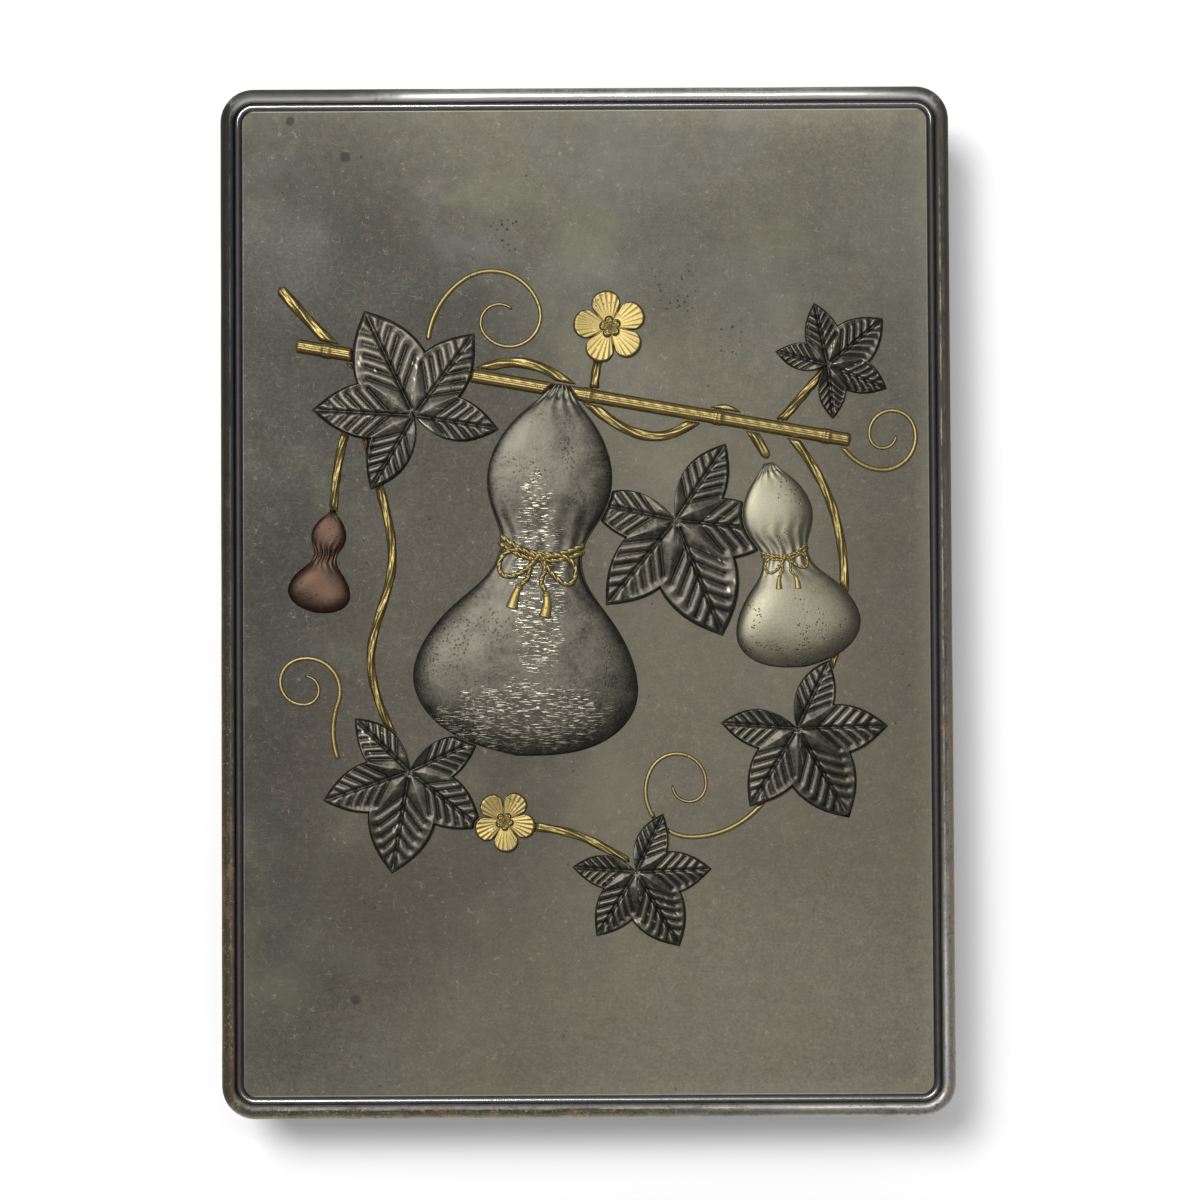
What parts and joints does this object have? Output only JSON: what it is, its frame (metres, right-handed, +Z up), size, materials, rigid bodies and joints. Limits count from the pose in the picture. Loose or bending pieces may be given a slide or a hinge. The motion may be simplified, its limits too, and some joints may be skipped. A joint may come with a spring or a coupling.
{
  "type": "japanese suzuri ink box",
  "caption": "Flat rectangular writing box with a flush lift-off lid, silver edgings and a metal relief plate, fitted inside with an ink stone, dropper, ink stick and tool trays.",
  "frame": {"origin": "on the table under the middle of the box", "axes": "+Z up, +Y towards the far edge where the ink pond lies, +X towards the right-hand side"},
  "size_m": [0.176, 0.248, 0.0456],
  "materials": {
    "lacquer_black": "black lacquer over wood, polished",
    "lacquer_fleck": "lacquer with gold flecks over wood, polished",
    "rim_silver": "tarnished silver, half-round",
    "bead_black": "black lacquer bead, glossy",
    "plate_metal": "patinated copper and silver alloy, satin",
    "inlay_silver": "pale silver, chased",
    "inlay_copper": "red-brown patinated copper",
    "inlay_dark": "dark patinated alloy, chased and polished",
    "inlay_gold": "gold, chased",
    "silver_clean": "silver, lightly tarnished",
    "stone": "fine-grained slate, honed",
    "ink": "pressed soot ink, satin",
    "bamboo": "polished bamboo",
    "hair": "animal hair, dressed to a point",
    "steel": "polished steel"
  },
  "bodies": {
    "box": {"box_floor": "lacquer_fleck", "box_foot_front": "lacquer_black", "box_foot_right": "lacquer_black", "box_foot_back": "lacquer_black", "box_foot_left": "lacquer_black", "box_wall_front": "lacquer_black", "box_wall_right": "lacquer_black", "box_wall_back": "lacquer_black", "box_wall_left": "lacquer_black", "box_mouth_band": "rim_silver", "box_lip_front": "lacquer_fleck", "box_lip_right": "lacquer_fleck", "box_lip_back": "lacquer_fleck", "box_lip_left": "lacquer_fleck"},
    "lid": {"lid_wall_front": "lacquer_black", "lid_wall_right": "lacquer_black", "lid_wall_back": "lacquer_black", "lid_wall_left": "lacquer_black", "lid_mouth_band": "rim_silver", "lid_board": "lacquer_fleck", "lid_rim": "rim_silver", "lid_bead": "bead_black", "lid_plate": "plate_metal", "inlay_flowers": "inlay_gold", "inlay_gourd_large": "inlay_dark", "inlay_gourd_small": "inlay_silver", "inlay_gourd_young": "inlay_copper", "inlay_leaves": "inlay_dark", "inlay_bar": "inlay_gold", "inlay_vines": "inlay_gold", "inlay_tendrils": "inlay_gold"},
    "fitted_board": {"fitted_board": "lacquer_fleck"},
    "ink_stone": {"ink_stone": "stone"},
    "water_dropper": {"dropper_cup": "silver_clean", "dropper_cover": "silver_clean"},
    "ink_stick": {"ink_stick": "ink"},
    "tray_right": {"tray_right_frame": "lacquer_fleck", "tray_right_floor": "lacquer_fleck", "tray_right_rest_front": "lacquer_fleck", "tray_right_rest_back": "lacquer_fleck"},
    "tray_left": {"tray_left_frame": "lacquer_fleck", "tray_left_floor": "lacquer_fleck", "tray_left_rest_front": "lacquer_fleck", "tray_left_rest_back": "lacquer_fleck"},
    "large_brush": {"brush_large_handle": "bamboo", "brush_large_collar": "silver_clean", "brush_large_hair": "hair"},
    "small_brush": {"brush_small_handle": "bamboo", "brush_small_collar": "silver_clean", "brush_small_hair": "hair"},
    "paper_knife": {"knife_handle": "bamboo", "knife_collar": "silver_clean", "knife_blade": "steel"},
    "paper_awl": {"awl_handle": "bamboo", "awl_collar": "silver_clean", "awl_spike": "steel"}
  },
  "joints": [
    {"name": "lid_lift", "type": "slide", "parent": "box", "child": "lid", "axis": [0, 0, 1], "range_m": [0, 0.16]},
    {"name": "board_lift", "type": "slide", "parent": "box", "child": "fitted_board", "axis": [0, 0, 1], "range_m": [0, 0.033]},
    {"name": "stone_lift", "type": "slide", "parent": "fitted_board", "child": "ink_stone", "axis": [0, 0, 1], "range_m": [0, 0.049]},
    {"name": "dropper_lift", "type": "slide", "parent": "fitted_board", "child": "water_dropper", "axis": [0, 0, 1], "range_m": [0, 0.065]},
    {"name": "stick_lift", "type": "slide", "parent": "fitted_board", "child": "ink_stick", "axis": [0, 0, 1], "range_m": [0, 0.057]},
    {"name": "tray_right_lift", "type": "slide", "parent": "box", "child": "tray_right", "axis": [0, 0, 1], "range_m": [0, 0.049]},
    {"name": "tray_left_lift", "type": "slide", "parent": "box", "child": "tray_left", "axis": [0, 0, 1], "range_m": [0, 0.049]},
    {"name": "large_brush_lift", "type": "slide", "parent": "tray_right", "child": "large_brush", "axis": [0, 0, 1], "range_m": [0, 0.041]},
    {"name": "small_brush_lift", "type": "slide", "parent": "tray_right", "child": "small_brush", "axis": [0, 0, 1], "range_m": [0, 0.041]},
    {"name": "paper_knife_lift", "type": "slide", "parent": "tray_left", "child": "paper_knife", "axis": [0, 0, 1], "range_m": [0, 0.041]},
    {"name": "paper_awl_lift", "type": "slide", "parent": "tray_left", "child": "paper_awl", "axis": [0, 0, 1], "range_m": [0, 0.041]}
  ],
  "couplings": [
    {"joint": "board_lift", "follows": "lid_lift", "ratio": 0.2},
    {"joint": "stone_lift", "follows": "lid_lift", "ratio": 0.3},
    {"joint": "dropper_lift", "follows": "lid_lift", "ratio": 0.4},
    {"joint": "stick_lift", "follows": "lid_lift", "ratio": 0.35},
    {"joint": "tray_right_lift", "follows": "lid_lift", "ratio": 0.3},
    {"joint": "tray_left_lift", "follows": "lid_lift", "ratio": 0.3},
    {"joint": "large_brush_lift", "follows": "lid_lift", "ratio": 0.25},
    {"joint": "small_brush_lift", "follows": "lid_lift", "ratio": 0.25},
    {"joint": "paper_knife_lift", "follows": "lid_lift", "ratio": 0.25},
    {"joint": "paper_awl_lift", "follows": "lid_lift", "ratio": 0.25}
  ]
}
